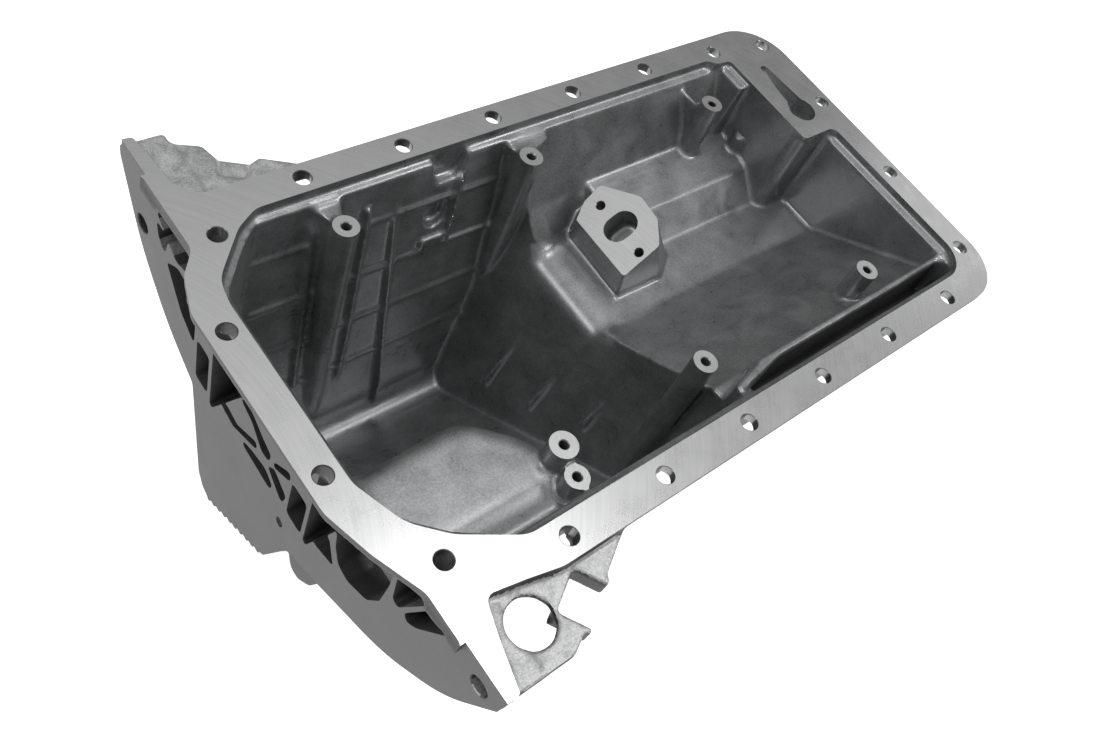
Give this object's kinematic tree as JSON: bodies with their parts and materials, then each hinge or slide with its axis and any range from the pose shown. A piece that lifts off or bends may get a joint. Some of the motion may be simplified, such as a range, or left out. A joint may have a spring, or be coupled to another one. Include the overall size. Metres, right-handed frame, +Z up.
{
  "type": "engine oil pan",
  "caption": "Die-cast aluminium upper oil pan: flat bolted gasket rail round a deep rear sump and a shallow front, with a cast-on ribbed bell-housing flange.",
  "frame": {"origin": "middle of the rectangle of four rail bolt holes, in the plane of the gasket face", "axes": "+X along the engine towards its front, +Y across the engine, +Z up, out of the gasket face"},
  "size_m": [0.4436, 0.32, 0.2285],
  "materials": {
    "casting": "satin as-cast with milled faces",
    "plug_steel": "zinc plated",
    "seal": "satin"
  },
  "bodies": {
    "root": {"oil_pan": "casting", "drain_plug": "plug_steel", "plug_washer": "seal"}
  },
  "joints": []
}
